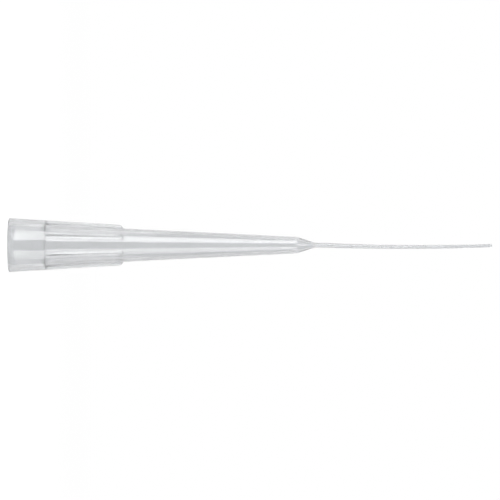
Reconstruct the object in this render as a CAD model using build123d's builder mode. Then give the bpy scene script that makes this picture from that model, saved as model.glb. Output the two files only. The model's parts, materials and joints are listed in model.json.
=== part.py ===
from build123d import *
import os
from math import cos, radians, sin, tan

os.makedirs("parts", exist_ok=True)

# A gel-loading pipette tip, moulded in one piece from clear polypropylene.
# Its wide mouth is pushed onto a pipette's nozzle, and its hair-fine capillary
# reaches between the two plates of a gel. It stands on its mouth: the origin is
# the middle of the rim, and +Z runs up the tip to the fine end.
# All sizes are in millimetres, and angles in degrees.

# --- Whole tip ------------------------------------------------------------------
total_length = 70.0

# --- Socket: what the pipette's nozzle is pushed into ------------------------------
land_radius = 2.72  # the straight land that grips and seals on the nozzle
land_length = 1.6
socket_depth = 5.2  # from the rim to the step that stops the nozzle
socket_taper = 3.0  # per side, of the guiding cone below the land
lead_in_width = 0.32
lead_in_depth = 0.95
nozzle_stop = 0.25  # width of the step
stop_rounding = 0.1

# --- Collar: a plain band round the mouth, with ribs above it -----------------------
rim_width = 0.75  # flat of the mouth, from the lead-in to the outside
rim_rounding = 0.2
collar_taper = 3.44  # lean of the band and of the ribs' edges, per side
band_above_stop = 0.3  # the band runs this far past the nozzle's stop
shoulder_rounding = 0.15
shoulder_fillet = 0.2

rib_count = 6
rib_length = 11.15
rib_thickness = 0.5
rib_end_drop = 0.4  # a rib's edge ends this far below its root
rib_corner = 0.3
rib_rounding = 0.12
rib_setback = 0.03  # the ribs' edges lie this far inside the band's cone
rib_root = 0.25  # how deep a rib is rooted in the barrel's wall
rib_overlap = 0.5  # how far a rib reaches down into the band

# --- Barrel: the hollow cone that holds the sample -----------------------------------
barrel_length = 36.25  # above the band
barrel_taper = 2.775  # per side
barrel_wall = 0.5

# --- Neck: the steep cone between barrel and capillary -------------------------------
neck_taper = 18.4  # per side
neck_shoulder = 1.0  # rounding where the barrel turns into the neck
neck_sweep = 3.0  # hollow rounding where the neck runs out into the capillary
neck_run_out = 0.6  # straight length above the neck, before the capillary bends
neck_bore_lag = 0.3  # the bore narrows this far before the outside does

# --- Capillary: the long fine end, with the slight bow that it cools with -------------
capillary_root_radius = 0.355
capillary_tip_radius = 0.215
capillary_root_wall = 0.14
capillary_tip_wall = 0.085
root_bend_radius = 20.0
root_lean = 2.2  # lean towards +X at the root
tip_lean = 2.0  # lean back towards -X at the fine end

# The socket grows outwards from the land: guiding cone, lead-in, then the rim.
guide_length = socket_depth - land_length - lead_in_depth
guide_radius = land_radius + guide_length * tan(radians(socket_taper))
lead_in_radius = guide_radius + lead_in_width
mouth_radius = lead_in_radius + rim_width

# The barrel grows outwards from the bore that the step leaves open.
barrel_foot_radius = land_radius - nozzle_stop + barrel_wall


# Radii of the two long cones at a given height.
def collar_radius(height):
    return mouth_radius - height * tan(radians(collar_taper))


def barrel_radius(height):
    return barrel_foot_radius - (height - socket_depth) * tan(radians(barrel_taper))


band_top = socket_depth + band_above_stop
rib_top = band_top + rib_length
barrel_top = band_top + barrel_length

# The neck ends where its cone has come down to the capillary's radius.
neck_drop = barrel_radius(barrel_top) - capillary_root_radius
neck_top = barrel_top + neck_drop / tan(radians(neck_taper))
capillary_start = neck_top + neck_run_out

# The bore follows the outside through barrel, neck and capillary.
bore_foot = land_radius - nozzle_stop
bore_top_height = barrel_top - neck_bore_lag
bore_top = barrel_radius(bore_top_height) - barrel_wall
neck_bore_end = neck_top - neck_bore_lag
capillary_root_bore = capillary_root_radius - capillary_root_wall
capillary_tip_bore = capillary_tip_radius - capillary_tip_wall

# The capillary's centre line is two tangent arcs in the XZ plane. The first leans
# it over; the second brings it back, and its radius makes up the total length.
bow_start_x = root_bend_radius * (1 - cos(radians(root_lean)))
bow_start_z = capillary_start + root_bend_radius * sin(radians(root_lean))
bow_rise = sin(radians(root_lean)) + sin(radians(tip_lean))
bow_radius = (total_length - bow_start_z) / bow_rise
bow_tangent = (sin(radians(root_lean)), cos(radians(root_lean)))

# A rib's foot is buried in the band.
rib_foot = band_top - rib_overlap
rib_edge_top = rib_top - rib_end_drop
edge_at_foot = collar_radius(rib_foot) - rib_setback
edge_at_top = collar_radius(rib_edge_top) - rib_setback


def nearest(corners, radius, height):
    """The corner of a profile that lies at this radius and height."""
    return corners.sort_by_distance(Vector(radius, height))[0]


# --- One rib ---------------------------------------------------------------------------
# A flat radial blade on +X. Its foot is buried in the band and its back in the
# barrel's wall, so that only the edge and the two cheeks show.
with BuildPart() as rib:
    with BuildSketch(Plane.XZ):
        with BuildLine():
            Polyline(
                (barrel_radius(rib_foot) - rib_root, rib_foot),
                (edge_at_foot, rib_foot),
                (edge_at_top, rib_edge_top),
                (barrel_radius(rib_top), rib_top),
                (barrel_radius(rib_top) - rib_root, rib_top),
                close=True,
            )
        make_face()
        fillet(nearest(vertices(), edge_at_top, rib_edge_top), rib_corner)
    extrude(amount=rib_thickness / 2, both=True)
    # the rounding runs on round the corner to the rib's end
    blade_edge = rib.faces().sort_by(Axis.X)[-1]
    fillet(blade_edge.edges().filter_by(Axis.Y, reverse=True), rib_rounding)

# --- The bore --------------------------------------------------------------------------
# One solid, the shape of the core pin that the tip is moulded on: lead-in, guiding
# cone, sealing land, nozzle stop, barrel, neck and capillary.
with BuildPart() as core:
    with BuildSketch(Plane.XZ):
        with BuildLine():
            Polyline(
                (0, 0),
                (lead_in_radius, 0),
                (guide_radius, lead_in_depth),
                (land_radius, socket_depth - land_length),
                (land_radius, socket_depth),
                (bore_foot, socket_depth),
                (bore_top, bore_top_height),
                (capillary_root_bore, neck_bore_end),
                (capillary_root_bore, capillary_start),
                (0, capillary_start),
                close=True,
            )
        make_face()
        fillet(nearest(vertices(), bore_foot, socket_depth), stop_rounding)
        fillet(nearest(vertices(), bore_top, bore_top_height), neck_shoulder)
        fillet(nearest(vertices(), capillary_root_bore, neck_bore_end), neck_sweep)
    revolve(axis=Axis.Z)

    with BuildLine(Plane.XZ) as centre_line:
        JernArc((0, capillary_start), (0, 1), root_bend_radius, -root_lean)
        JernArc((bow_start_x, bow_start_z), bow_tangent, bow_radius, root_lean + tip_lean)
    with BuildSketch(centre_line.line ^ 0):
        Circle(capillary_root_bore)
    with BuildSketch(centre_line.line ^ 1):
        Circle(capillary_tip_bore)
    sweep(path=centre_line.line, multisection=True)

# --- The tip ---------------------------------------------------------------------------
with BuildPart() as pipette_tip:
    # band, barrel and neck are turned from one outline
    with BuildSketch(Plane.XZ):
        with BuildLine():
            Polyline(
                (0, 0),
                (mouth_radius, 0),
                (collar_radius(band_top), band_top),
                (barrel_radius(band_top), band_top),
                (barrel_radius(barrel_top), barrel_top),
                (capillary_root_radius, neck_top),
                (capillary_root_radius, capillary_start),
                (0, capillary_start),
                close=True,
            )
        make_face()
        fillet(nearest(vertices(), mouth_radius, 0), rim_rounding)
        fillet(nearest(vertices(), collar_radius(band_top), band_top), shoulder_rounding)
        fillet(nearest(vertices(), barrel_radius(band_top), band_top), shoulder_fillet)
        fillet(nearest(vertices(), barrel_radius(barrel_top), barrel_top), neck_shoulder)
        fillet(nearest(vertices(), capillary_root_radius, neck_top), neck_sweep)
    revolve(axis=Axis.Z)

    with PolarLocations(0, rib_count):
        add(rib.part)

    # the capillary is drawn along its bowed centre line, finer towards the end
    with BuildSketch(centre_line.line ^ 0):
        Circle(capillary_root_radius)
    with BuildSketch(centre_line.line ^ 1):
        Circle(capillary_tip_radius)
    sweep(path=centre_line.line, multisection=True)

    add(core.part, mode=Mode.SUBTRACT)

pipette_tip.part.label = "pipette_tip"
export_step(pipette_tip.part, "parts/pipette_tip.step")
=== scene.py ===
# %% [markdown]
# # A gel-loading pipette tip
#
# The real object is one moulding of clear polypropylene, 70 mm long: a socket and
# ribbed collar at the mouth, a hollow barrel, and a capillary as fine as a hair.
# Plastic this clear shows its inside as well as its outside, so this lesson
# models both skins of the wall and lets the light find its own way through them.
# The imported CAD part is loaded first. It fixes where everything is, and the
# detailed piece made here stands in the same place.

# %% Load the frame
import json
import math

import bpy
from mathutils import Matrix, Vector


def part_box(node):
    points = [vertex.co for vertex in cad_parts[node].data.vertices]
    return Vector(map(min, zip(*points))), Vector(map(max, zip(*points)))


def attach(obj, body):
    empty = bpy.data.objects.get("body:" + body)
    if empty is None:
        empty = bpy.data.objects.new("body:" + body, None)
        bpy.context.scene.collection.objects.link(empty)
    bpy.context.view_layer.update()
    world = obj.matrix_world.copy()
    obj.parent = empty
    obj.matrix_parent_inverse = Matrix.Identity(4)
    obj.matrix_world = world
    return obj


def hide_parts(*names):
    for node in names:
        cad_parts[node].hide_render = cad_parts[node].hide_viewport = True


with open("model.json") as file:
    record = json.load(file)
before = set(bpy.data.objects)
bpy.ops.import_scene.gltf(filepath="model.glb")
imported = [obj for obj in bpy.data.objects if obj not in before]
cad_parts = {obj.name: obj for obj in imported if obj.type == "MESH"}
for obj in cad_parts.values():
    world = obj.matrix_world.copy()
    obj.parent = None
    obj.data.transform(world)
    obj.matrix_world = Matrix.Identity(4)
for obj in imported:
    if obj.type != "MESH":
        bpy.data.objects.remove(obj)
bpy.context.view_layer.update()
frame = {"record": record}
bpy.ops.object.select_all(action="DESELECT")

MM = 0.001
HAIR = 0.0005 * MM  # places closer than this are the same place
NODE = "pipette_tip"
lowest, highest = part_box(NODE)
print("the CAD part is", round((highest.z - lowest.z) / MM, 3), "mm long")

# %% [markdown]
# ## Sizes
#
# The length and the socket come from the frame, and what the frame doesn't name
# is given here in millimetres. Two cones carry the form: one for the collar, with
# its band and the edges of its ribs, and one for the barrel inside it. Their radii
# are wanted at many heights, so each cone is a small function.

# %% Sizes of the wall
socket = {m["name"]: m for m in frame["record"]["mounts"]}["nozzle_socket"]
land_radius = socket["dims"]["r_mm"] * MM
land_length = socket["dims"]["length_mm"] * MM
land_top = socket["pos_m"][2] + land_length / 2

mouth_radius = 3.929 * MM
collar_lean = math.radians(3.44)
band_top = land_top + 0.3 * MM
rib_top = band_top + 11.15 * MM

barrel_wall = 0.5 * MM
barrel_foot = land_radius + 0.25 * MM  # its outer radius, level with the nozzle's stop
barrel_lean = math.radians(2.775)
barrel_top = band_top + 36.25 * MM

neck_lean = math.radians(18.4)
neck_run_out = 0.6 * MM  # straight length above the neck, before the bow starts
capillary_root = 0.355 * MM
capillary_end = 0.215 * MM
root_bore = 0.215 * MM
end_bore = 0.13 * MM


def collar_radius(height):
    return mouth_radius - height * math.tan(collar_lean)


def barrel_radius(height):
    return barrel_foot - (height - land_top) * math.tan(barrel_lean)


neck_narrowing = barrel_radius(barrel_top) - capillary_root
neck_top = barrel_top + neck_narrowing / math.tan(neck_lean)
capillary_start = neck_top + neck_run_out
print("band to", round(band_top / MM, 2), "ribs to", round(rib_top / MM, 2))
print("barrel to", round(barrel_top / MM, 2), "neck to", round(neck_top / MM, 2), "mm")

# %% [markdown]
# ## The capillary's bow
#
# So fine a tube never cools quite straight. Its centre line is two tangent arcs:
# a short one that leans it over at the root, and a long shallow one that brings it
# back. A bend could be put on afterwards with a deform modifier, but each arc has a
# plain formula for how far it stands off the axis, so the rings can simply be
# placed there as they are made.

# %% Centre line of the capillary
root_bend = 20.0 * MM
root_lean, end_lean = math.radians(2.2), math.radians(2.0)
bow_start = capillary_start + root_bend * math.sin(root_lean)
bow_radius = (highest.z - bow_start) / (math.sin(root_lean) + math.sin(end_lean))
bow_peak = bow_start + bow_radius * math.sin(root_lean)


def off_axis(height):
    """How far the tip's centre line stands off the axis, towards +X."""
    if height <= capillary_start:
        return 0.0
    if height <= bow_start:
        return root_bend - math.sqrt(root_bend**2 - (height - capillary_start) ** 2)
    start = root_bend * (1 - math.cos(root_lean))
    peak = start + bow_radius * (1 - math.cos(root_lean))
    return peak - bow_radius + math.sqrt(bow_radius**2 - (height - bow_peak) ** 2)


print("the bow peaks", round(off_axis(bow_peak) / MM, 3), "mm off the axis")

# %% [markdown]
# ## The wall as one walk round its outline
#
# Cut the tip in half and the wall shows as a closed outline: out along the rim, up
# the outside, over the fine end and down the bore. A lathe would turn that outline,
# and Blender's Spin does the same, but it can only turn about a straight axis. So
# the wall is walked as a person would extrude it by hand: a circle at the rim, then
# ring after ring, each moved and resized to the next point of the outline.
#
# A moulding has no knife edges, so each corner carries its own rounding. How large
# it is decides what is seen there: the small ones of the band's shoulder show as a
# thin line, and the larger one of the nozzle's stop as a dark ring beside it. The
# long straights are divided so that every ring has near neighbours.

# %% Outline of the wall
def rounded(before, corner, after, rounding, steps=6):
    """The points of an arc of this radius laid into a corner of the outline."""
    corner = Vector(corner)
    back, on = (Vector(before) - corner).normalized(), (Vector(after) - corner).normalized()
    half = back.angle(on) / 2
    middle = corner + (back + on).normalized() * (rounding / math.sin(half))
    first = corner + back * (rounding / math.tan(half)) - middle
    last = corner + on * (rounding / math.tan(half)) - middle
    sweep = first.angle_signed(last)
    turn = [sweep * i / steps for i in range(steps + 1)]
    return [middle + Matrix.Rotation(-a, 2) @ first for a in turn]


def divided(points, spacing):
    """The same line, with no stretch between two points longer than the spacing."""
    line = [points[0]]
    for start, end in zip(points, points[1:]):
        parts = max(1, math.ceil((end - start).length / spacing))
        line += [start.lerp(end, i / parts) for i in range(1, parts + 1)]
    return line


# the bore's mouth: a short lead-in, then a guiding cone up to the land
guide_lean = math.radians(3)
guide_bottom = 0.6 * MM
guide_length = land_top - land_length - guide_bottom
guide_radius = land_radius + guide_length * math.tan(guide_lean)
lead_in = guide_radius + 0.10 * MM

# the bore narrows a little before the outside does
bore_lag = 0.3 * MM
bore_turn = barrel_top - bore_lag
bore_end = neck_top - bore_lag

neck_shoulder, neck_sweep = 1.0 * MM, 3.0 * MM
broken_edge = 0.02 * MM

# corners as (radius, height, rounding), from the rim's inner edge and round to it
outline = [
    (lead_in, 0, 0.06 * MM),
    (mouth_radius, 0, 0.2 * MM),
    (collar_radius(band_top), band_top, 0.05 * MM),
    (barrel_radius(band_top), band_top, 0.05 * MM),
    (barrel_radius(barrel_top), barrel_top, neck_shoulder),
    (capillary_root, neck_top, neck_sweep),
    (capillary_root, capillary_start, 0),
    (capillary_end, highest.z, broken_edge),
    (end_bore, highest.z, broken_edge),
    (root_bore, capillary_start, 0),
    (root_bore, bore_end, neck_sweep),
    (barrel_radius(bore_turn) - barrel_wall, bore_turn, neck_shoulder),
    (barrel_foot - barrel_wall, land_top, 0.2 * MM),
    (land_radius, land_top, broken_edge),
    (land_radius, land_top - land_length, 0),
    (guide_radius, guide_bottom, 0.3 * MM),
]
ring_spacing = 1.2 * MM
walk = []
for i, (radius, height, rounding) in enumerate(outline):
    before, after = outline[i - 1][:2], outline[(i + 1) % len(outline)][:2]
    if rounding:
        walk += rounded(before, (radius, height), after, rounding)
    else:
        walk.append(Vector((radius, height)))
walk = divided(walk, ring_spacing)
print("the outline has", len(walk), "points")

# %% [markdown]
# ## Extruding the rings
#
# The first ring is a circle with no face in it. Each step extrudes the selected
# edges, moves the new ring up or down (and sideways, where the capillary bows) and
# resizes it about its own centre. The last ring meets the first at the lead-in, and
# Bridge closes the skin there.

# %% The wall
COLUMNS = 144  # points in each ring


def ring_centre(point):
    """Where the ring of this outline point has its centre."""
    return Vector((off_axis(point.y), 0, point.y))


first_ring = walk[0]
bpy.ops.mesh.primitive_circle_add(
    vertices=COLUMNS,
    radius=first_ring.x,
    fill_type="NOTHING",
    location=ring_centre(first_ring),
)
tip = bpy.context.object
tip.name = "tip_moulding"
bpy.ops.object.transform_apply(location=True, rotation=True, scale=True)
bpy.ops.object.mode_set(mode="EDIT")
bpy.ops.mesh.select_all(action="SELECT")
for here, there in zip(walk, walk[1:]):
    step = ring_centre(there) - ring_centre(here)
    bpy.ops.mesh.extrude_edges_move(TRANSFORM_OT_translate={"value": step})
    grow = there.x / here.x
    bpy.ops.transform.resize(value=(grow, grow, 1), center_override=ring_centre(there))
bpy.ops.mesh.select_all(action="DESELECT")
bpy.ops.mesh.select_mode(type="EDGE")
bpy.ops.mesh.select_non_manifold(
    extend=False,
    use_boundary=True,
    use_wire=False,
    use_multi_face=False,
    use_non_contiguous=False,
    use_verts=False,
)
bpy.ops.mesh.bridge_edge_loops()
bpy.ops.mesh.select_all(action="SELECT")
bpy.ops.mesh.normals_make_consistent(inside=False)
bpy.ops.object.mode_set(mode="OBJECT")
print("the wall has", len(tip.data.polygons), "faces")

# %% [markdown]
# ## The ribs
#
# Six thin blades stand on the barrel above the band. They stiffen the collar, and
# their ends are what the tip hangs by in a rack. One blade is shaped from a cube:
# its edge follows the collar's cone, its back is sunk in the barrel's wall, and its
# end slopes in to the barrel. Then it is copied round the axis.

# %% One rib
rib_count = 6
rib_thickness = 0.5 * MM
rib_foot = band_top - 0.5 * MM
rib_edge_top = rib_top - 0.4 * MM
edge_inset = 0.03 * MM  # the ribs' edges lie this far inside the band's cone
rib_root = 0.25 * MM  # how deep the blade's back is sunk in the wall

# the end slopes down from the barrel's skin at the rib's top, and starts inside it
edge_top_x, edge_top_z = collar_radius(rib_edge_top) - edge_inset, rib_edge_top
end_slope = (rib_top - edge_top_z) / (edge_top_x - barrel_radius(rib_top))

# the blade's side view, as (distance from the axis, height)
blade_corners = {
    "back_foot": (barrel_radius(rib_foot) - rib_root, rib_foot),
    "edge_foot": (collar_radius(rib_foot) - edge_inset, rib_foot),
    "edge_top": (edge_top_x, edge_top_z),
    "back_top": (barrel_radius(rib_top) - rib_root, rib_top + rib_root * end_slope),
}


def pick(mesh_object, wanted):
    """Selects the corners of the edited mesh whose place passes the test."""
    bpy.ops.mesh.select_all(action="DESELECT")
    bpy.ops.object.mode_set(mode="OBJECT")
    for v in mesh_object.data.vertices:
        v.select = wanted(v.co)
    bpy.ops.object.mode_set(mode="EDIT")


bpy.ops.mesh.primitive_cube_add(size=1, location=(0.5, 0, 0.5))
rib = bpy.context.object
rib.name = "rib"
bpy.ops.object.transform_apply(location=True, rotation=True, scale=True)
bpy.ops.object.mode_set(mode="EDIT")
bpy.ops.transform.resize(value=(1, rib_thickness, 1), center_override=(0, 0, 0))
bpy.ops.mesh.select_mode(type="VERT")
for corner, (distance, height) in blade_corners.items():
    at_edge, at_top = corner.startswith("edge"), corner.endswith("top")
    pick(rib, lambda co: (co.x > 0.5) == at_edge and (co.z > 0.5) == at_top)
    shift = (distance - at_edge, 0, height - at_top)
    bpy.ops.transform.translate(value=shift)
bpy.ops.object.mode_set(mode="OBJECT")
side_view = {(round(v.co.x / MM, 2), round(v.co.z / MM, 2)) for v in rib.data.vertices}
print("rib corners", sorted(side_view))

# %% [markdown]
# ## Rounding the blade
#
# First the corner at the top of the edge gets its larger rounding, and then the two
# long arrises get a small one that runs on round that corner. Bevel works on what
# is selected, so each time the wanted edges are picked by their place.

# %% Rounded edges
corner_rounding, arris_rounding = 0.2 * MM, 0.16 * MM
bevel_steps = 6
bpy.ops.object.mode_set(mode="EDIT")
bpy.ops.mesh.select_mode(type="EDGE")


def pick_edges(mesh_object, wanted):
    """Selects the edges of the edited mesh whose two ends pass the test."""
    bpy.ops.mesh.select_all(action="DESELECT")
    bpy.ops.object.mode_set(mode="OBJECT")
    at = mesh_object.data.vertices
    for e in mesh_object.data.edges:
        e.select = wanted(at[e.vertices[0]].co, at[e.vertices[1]].co)
    bpy.ops.object.mode_set(mode="EDIT")


def across_top(a, b):
    """The short edge across the blade, at the top of its long edge."""
    return all(math.hypot(co.x - edge_top_x, co.z - edge_top_z) < HAIR for co in (a, b))


def on_arris(a, b):
    """An edge in one cheek that runs neither along the foot nor down the back."""
    same_cheek = abs(a.y - b.y) < HAIR
    along_foot = max(a.z, b.z) < rib_foot + HAIR
    down_back = all(co.x < barrel_radius(co.z) - 0.5 * rib_root for co in (a, b))
    return same_cheek and not along_foot and not down_back


pick_edges(rib, across_top)
bpy.ops.mesh.bevel(offset=corner_rounding, segments=bevel_steps, affect="EDGES")
pick_edges(rib, on_arris)
bpy.ops.mesh.bevel(offset=arris_rounding, segments=bevel_steps, affect="EDGES")
bpy.ops.object.mode_set(mode="OBJECT")
print("one rib has", len(rib.data.polygons), "faces")

# %% [markdown]
# ## The blade's root
#
# A mould is never cut with a sharp inner corner, because the plastic would crack
# there, so each cheek flows into the barrel through a small hollow rounding. In
# clear plastic that rounding shows as a bright line along the rib. Bevelling it
# after the union would mean working on a ragged seam. It is easier to give the
# blade a flared root first: the blade is cut by planes that lie along the barrel's
# skin, and each cut is widened until the cuts trace an arc that meets the barrel.

# %% Root rounding
root_rounding = 0.38 * MM
cuts = 6
skin_out = Vector((math.cos(barrel_lean), 0, math.sin(barrel_lean)))
skin_point = Vector((barrel_radius(rib_foot), 0, rib_foot))
skin_radius = barrel_radius((rib_foot + rib_top) / 2)

# the arc touches the cheek at one end and the round barrel at the other
arc_side = rib_thickness / 2 + root_rounding
arc_out = math.sqrt((skin_radius + root_rounding) ** 2 - arc_side**2) - skin_radius
arc_turn = math.acos(arc_side / (skin_radius + root_rounding))
bpy.ops.object.mode_set(mode="EDIT")
bpy.ops.mesh.select_mode(type="VERT")
for cut in range(cuts):
    turn = arc_turn * cut / (cuts - 1)
    out = arc_out - root_rounding * math.sin(turn)
    half = arc_side - root_rounding * math.cos(turn)
    bpy.ops.mesh.select_all(action="SELECT")
    bpy.ops.mesh.bisect(plane_co=skin_point + skin_out * out, plane_no=skin_out)
    pick(rib, lambda co: abs((co - skin_point).dot(skin_out) - out) < HAIR)
    widen = half / (rib_thickness / 2)
    bpy.ops.transform.resize(value=(1, widen, 1), center_override=(0, 0, 0))
# what is inside the wall keeps the last width
pick(rib, lambda co: (co - skin_point).dot(skin_out) < out - HAIR)
bpy.ops.transform.resize(value=(1, widen, 1), center_override=(0, 0, 0))
bpy.ops.object.mode_set(mode="OBJECT")
print("with its root it has", len(rib.data.polygons), "faces")

# %% [markdown]
# ## Six ribs, one moulding
#
# The blade is duplicated round the axis and the copies are joined into one mesh.
# A Boolean union then welds them to the wall. That matters more here than on an
# opaque part: in clear plastic every leftover face inside the wall would show as a
# crack, and the light would bend twice.

# %% Weld the ribs to the wall
ribs = [rib]
for number in range(1, rib_count):
    bpy.ops.object.select_all(action="DESELECT")
    rib.select_set(True)
    bpy.context.view_layer.objects.active = rib
    bpy.ops.object.duplicate()
    copy = bpy.context.object
    copy.rotation_euler.z = number * math.tau / rib_count
    bpy.ops.object.transform_apply(location=True, rotation=True, scale=True)
    ribs.append(copy)
for blade in ribs:
    blade.select_set(True)
bpy.context.view_layer.objects.active = rib
bpy.ops.object.join()

bpy.ops.object.select_all(action="DESELECT")
tip.select_set(True)
bpy.context.view_layer.objects.active = tip
weld = tip.modifiers.new("weld_ribs", "BOOLEAN")
weld.operation, weld.solver, weld.object = "UNION", "EXACT", rib
bpy.ops.object.modifier_apply(modifier=weld.name)
bpy.data.objects.remove(rib)

bpy.ops.object.mode_set(mode="EDIT")
bpy.ops.mesh.select_all(action="SELECT")
bpy.ops.mesh.remove_doubles(threshold=HAIR)
bpy.ops.mesh.normals_make_consistent(inside=False)
bpy.ops.object.mode_set(mode="OBJECT")
bpy.ops.object.shade_smooth_by_angle(angle=math.radians(28))
print("the moulding has", len(tip.data.polygons), "faces")

# %% [markdown]
# ## Clear polypropylene
#
# Polypropylene is clear but never as clear as glass: tiny crystals in it scatter a
# little of the light, which makes it milky. A Glass shader would be too clean and a
# Subsurface one too waxy. The Principled shader can be both at once: most of it
# transmits, and what is left is a pale diffuse haze.
#
# The melt flowed towards the fine end and left faint lines that way. A noise on
# Object coordinates, squeezed across the tip and so drawn out along it, stands for
# them, and everything that varies over the surface reads it. First it varies the
# colour of the haze a little.

# %% Clear and milky
plastic = bpy.data.materials.new("clear_polypropylene")
plastic.use_nodes = True
nodes, links = plastic.node_tree.nodes, plastic.node_tree.links
shader = nodes["Principled BSDF"]
shader.inputs["IOR"].default_value = 1.49
shader.inputs["Transmission Weight"].default_value = 0.8

place = nodes.new("ShaderNodeTexCoord")
stretch = nodes.new("ShaderNodeMapping")
stretch.inputs["Scale"].default_value = (1400, 1400, 90)  # cells to the metre
links.new(place.outputs["Object"], stretch.inputs["Vector"])

flow = nodes.new("ShaderNodeTexNoise")
flow.inputs["Scale"].default_value = 1.0
flow.inputs["Detail"].default_value = 3.0
links.new(stretch.outputs["Vector"], flow.inputs["Vector"])

haze = nodes.new("ShaderNodeValToRGB")
haze.color_ramp.elements[0].position = 0.3
haze.color_ramp.elements[0].color = (0.738, 0.747, 0.757, 1)
haze.color_ramp.elements[1].position = 0.7
haze.color_ramp.elements[1].color = (0.768, 0.777, 0.787, 1)
links.new(flow.outputs["Fac"], haze.inputs["Fac"])
links.new(haze.outputs["Color"], shader.inputs["Base Color"])
print("the haze runs between", len(haze.color_ramp.elements), "pale greys")

# %% [markdown]
# ## Gloss and flow lines
#
# A polished mould leaves a gloss. The same noise makes it a touch uneven, through
# the roughness, and drives a bump so slight that it only unsettles the reflections.
# Lines cut into the mesh would need far more faces for something hardly felt.

# %% Gloss
smoothest, dullest = 0.05, 0.12
gloss = nodes.new("ShaderNodeMapRange")
gloss.inputs["To Min"].default_value = smoothest
gloss.inputs["To Max"].default_value = dullest
links.new(flow.outputs["Fac"], gloss.inputs["Value"])

lines = nodes.new("ShaderNodeBump")
lines.inputs["Strength"].default_value = 0.05
lines.inputs["Distance"].default_value = 0.02 * MM
links.new(flow.outputs["Fac"], lines.inputs["Height"])
links.new(lines.outputs["Normal"], shader.inputs["Normal"])
print("the gloss lies between roughness", smoothest, "and", dullest)

# %% [markdown]
# ## Satin towards the fine end
#
# The finer the mould's pin and cavity become, the less they can be polished, so the
# plastic turns satin from the neck on. A ramp on height adds that to the roughness.
# A second material could do it as well, but it would need a hard border somewhere.

# %% Satin
satin_start = barrel_top - 1.5 * MM
height = nodes.new("ShaderNodeSeparateXYZ")
links.new(place.outputs["Object"], height.inputs["Vector"])
slender = nodes.new("ShaderNodeMapRange")
slender.inputs["From Min"].default_value = satin_start
slender.inputs["From Max"].default_value = highest.z
links.new(height.outputs["Z"], slender.inputs["Value"])
satin = nodes.new("ShaderNodeValToRGB")
satin.color_ramp.elements[0].color = (0, 0, 0, 1)
satin.color_ramp.elements[1].color = (0.42, 0.42, 0.42, 1)
neck_stop = satin.color_ramp.elements.new(0.16)
neck_stop.color = (0.12, 0.12, 0.12, 1)
fine_stop = satin.color_ramp.elements.new(0.6)
fine_stop.color = (0.14, 0.14, 0.14, 1)
links.new(slender.outputs["Result"], satin.inputs["Fac"])
roughness = nodes.new("ShaderNodeMath")
roughness.operation = "ADD"
links.new(gloss.outputs["Result"], roughness.inputs[0])
links.new(satin.outputs["Color"], roughness.inputs[1])
links.new(roughness.outputs["Value"], shader.inputs["Roughness"])
print("satin from", round(satin_start / MM, 2), "mm up")

# %% [markdown]
# ## Depth of tone
#
# Light that runs along inside the wall meets more plastic than light that crosses
# it. A darker haze could not tell the two apart, so a Volume Absorption node does
# it: edges and ribs come out deeper in tone, as on the real thing.
#
# Then the piece gets its material and takes the CAD part's place.

# %% Depth of tone, and the piece in its place
depth = nodes.new("ShaderNodeVolumeAbsorption")
depth.inputs["Color"].default_value = (0.860, 0.865, 0.872, 1)
depth.inputs["Density"].default_value = 100
links.new(depth.outputs["Volume"], nodes["Material Output"].inputs["Volume"])

tip.data.materials.clear()
tip.data.materials.append(plastic)
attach(tip, "root")
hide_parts(NODE)
print("the plastic has", len(nodes), "nodes")

# %% [markdown]
# ## Camera
#
# The tip is looked at from the side, square on, with its fine end to the right. The
# camera is turned a quarter about its own axis for that, so its matrix is written
# out: its own X runs up the tip, and its own Y runs against the frame's X.

# %% Camera
distance = 550 * MM
frame_width = 72.45 * MM
middle = (highest.z + lowest.z) / 2 - 0.05 * MM
side_step = 0.70 * MM  # the tip sits a little off the middle of the view

camera_data = bpy.data.cameras.new("camera")
camera_data.sensor_width = 36
camera_data.lens = camera_data.sensor_width * distance / frame_width
camera_data.clip_start = 0.01
camera = bpy.data.objects.new("camera", camera_data)
bpy.context.scene.collection.objects.link(camera)
across, up, back = Vector((0, 0, 1)), Vector((-1, 0, 0)), Vector((0, -1, 0))
turned = Matrix((across, up, back)).transposed().to_4x4()
camera.matrix_world = Matrix.Translation((side_step, -distance, middle)) @ turned
bpy.context.scene.camera = camera
print("the lens is", round(camera_data.lens, 1), "mm")

# %% [markdown]
# ## A white world for some rays
#
# Everything behind the tip is white. To light the whole room so brightly would wash
# the plastic out, so only some rays get to see the white: those from the camera, off
# a gloss and through the plastic. The Light Path node tells them apart. To all other
# rays the world is a dim grey room, which fills the shadows without flattening the
# form. The floor will need the same answer, so it is asked in a function.

# %% World
def seen_rays(node_tree):
    """1 for rays from the camera, off a gloss or through the plastic, else 0."""
    rays = node_tree.nodes.new("ShaderNodeLightPath")
    first = node_tree.nodes.new("ShaderNodeMath")
    first.operation = "MAXIMUM"
    node_tree.links.new(rays.outputs["Is Camera Ray"], first.inputs[0])
    node_tree.links.new(rays.outputs["Is Glossy Ray"], first.inputs[1])
    second = node_tree.nodes.new("ShaderNodeMath")
    second.operation = "MAXIMUM"
    node_tree.links.new(first.outputs["Value"], second.inputs[0])
    node_tree.links.new(rays.outputs["Is Transmission Ray"], second.inputs[1])
    return second.outputs["Value"]


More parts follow.
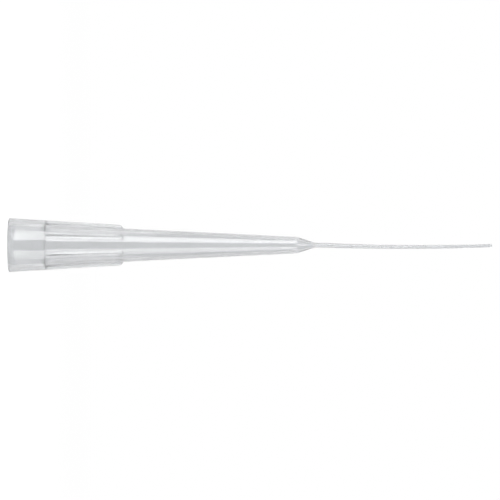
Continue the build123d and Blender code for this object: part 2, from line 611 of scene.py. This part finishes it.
world = bpy.data.worlds.new("studio")
bpy.context.scene.world = world
world.use_nodes = True
nodes, links = world.node_tree.nodes, world.node_tree.links
room = nodes["Background"]
room.inputs["Color"].default_value = (0.22, 0.22, 0.22, 1)
white = nodes.new("ShaderNodeBackground")
white.inputs["Color"].default_value = (1, 1, 1, 1)
either = nodes.new("ShaderNodeMixShader")
links.new(seen_rays(world.node_tree), either.inputs["Fac"])
links.new(room.outputs["Background"], either.inputs[1])
links.new(white.outputs["Background"], either.inputs[2])
links.new(either.outputs["Shader"], nodes["World Output"].inputs["Surface"])
bpy.context.scene.view_settings.view_transform = "Standard"
print("the room is", round(room.inputs["Color"].default_value[0], 2), "grey")

# %% [markdown]
# ## Floor
#
# The floor is a wide disc of pale paper. For the rays that see white it glows, but
# near the tip part of its brightness still comes from the lamps, so that it keeps
# the tip's soft shadow. Further out it fades into the plain white of the background,
# and no horizon shows. To all other rays it is paper and nothing more.

# %% Floor
floor_drop = 0.02 * MM  # just clear of the rim that stands on it
bpy.ops.object.select_all(action="DESELECT")
bpy.ops.mesh.primitive_circle_add(
    vertices=96, radius=1.5, fill_type="NGON", location=(0, 0, -floor_drop)
)
floor = bpy.context.object
floor.name = "floor"
paper = bpy.data.materials.new("white_paper")
paper.use_nodes = True
nodes, links = paper.node_tree.nodes, paper.node_tree.links
nodes.remove(nodes["Principled BSDF"])
plain = nodes.new("ShaderNodeBsdfDiffuse")
plain.inputs["Color"].default_value = (0.8, 0.8, 0.8, 1)
lit = nodes.new("ShaderNodeBsdfDiffuse")
lit.inputs["Color"].default_value = (0.4, 0.4, 0.4, 1)
glow = nodes.new("ShaderNodeEmission")
glow.inputs["Strength"].default_value = 0.82
both = nodes.new("ShaderNodeAddShader")
links.new(lit.outputs["BSDF"], both.inputs[0])
links.new(glow.outputs["Emission"], both.inputs[1])
far = nodes.new("ShaderNodeEmission")

spot = nodes.new("ShaderNodeTexCoord")
reach = nodes.new("ShaderNodeVectorMath")
reach.operation = "LENGTH"
links.new(spot.outputs["Object"], reach.inputs[0])
fade = nodes.new("ShaderNodeMapRange")
fade.inputs["From Min"].default_value = 0.05
fade.inputs["From Max"].default_value = 0.3
links.new(reach.outputs["Value"], fade.inputs["Value"])
by_distance = nodes.new("ShaderNodeMixShader")
links.new(fade.outputs["Result"], by_distance.inputs["Fac"])
links.new(both.outputs["Shader"], by_distance.inputs[1])
links.new(far.outputs["Emission"], by_distance.inputs[2])
by_ray = nodes.new("ShaderNodeMixShader")
links.new(seen_rays(paper.node_tree), by_ray.inputs["Fac"])
links.new(plain.outputs["BSDF"], by_ray.inputs[1])
links.new(by_distance.outputs["Shader"], by_ray.inputs[2])
links.new(by_ray.outputs["Shader"], nodes["Material Output"].inputs["Surface"])
floor.data.materials.append(paper)
print("the floor is", round(floor.dimensions.x, 2), "m across")

# %% [markdown]
# ## Soft light
#
# Gloss shows what stands round it, so the lights are wide soft panels, and each one
# gives the round wall its own bright line. A single large lamp would be as bright,
# but it would draw one broad band. The key stands in front on the -X side and a
# weaker fill on the +X side. The gap between them leaves the darker line down the
# middle, which tells that the wall is round.
#
# Each side has two strips more, a low one and a high one. One tall panel there would
# lie in the gloss of the barrel's flanks, which are quiet on the real thing. The gap
# between the strips keeps them so, while the collar and the fine end still get some
# light from the side. The strips are weak, because from the side they are seen
# straight through the clear wall. One more panel, above the camera, lights the neck
# and the shoulders. The camera itself sees none of them.

# %% Lights
LAMP_DISTANCE = 0.5  # from the tip's axis, in metres
tip_middle = Vector((0, 0, 0.035))


def panel(name, place, width, height, radiance):
    """A soft rectangular lamp whose own brightness is the radiance."""
    data = bpy.data.lights.new(name, "AREA")
    data.shape = "RECTANGLE"
    data.size, data.size_y = width, height
    data.energy = radiance * math.pi * width * height
    lamp = bpy.data.objects.new(name, data)
    bpy.context.scene.collection.objects.link(lamp)
    lamp.location = place
    lamp.rotation_euler = (tip_middle - place).to_track_quat("-Z", "Y").to_euler()
    lamp.visible_camera = False
    print(name, round(data.energy, 2), "W")


def beside(angle, height, distance=LAMP_DISTANCE):
    """A place round the tip: 0 degrees is in front, and -90 degrees on the -X side."""
    turn = math.radians(angle)
    return Vector((distance * math.sin(turn), -distance * math.cos(turn), height))


panel("key", beside(-45, 0.11), 0.40, 0.20, 6.2)
panel("key_low", beside(-90, 0.024), 0.40, 0.028, 2.2)
panel("key_high", beside(-90, 0.145), 0.40, 0.08, 1.7)
panel("fill", beside(45, 0.11), 0.40, 0.20, 3.8)
panel("fill_low", beside(90, 0.024), 0.40, 0.028, 1.8)
panel("fill_high", beside(90, 0.145), 0.40, 0.08, 1.6)
panel("above_front", beside(0, 0.33, distance=0.42), 0.25, 0.25, 4.3)
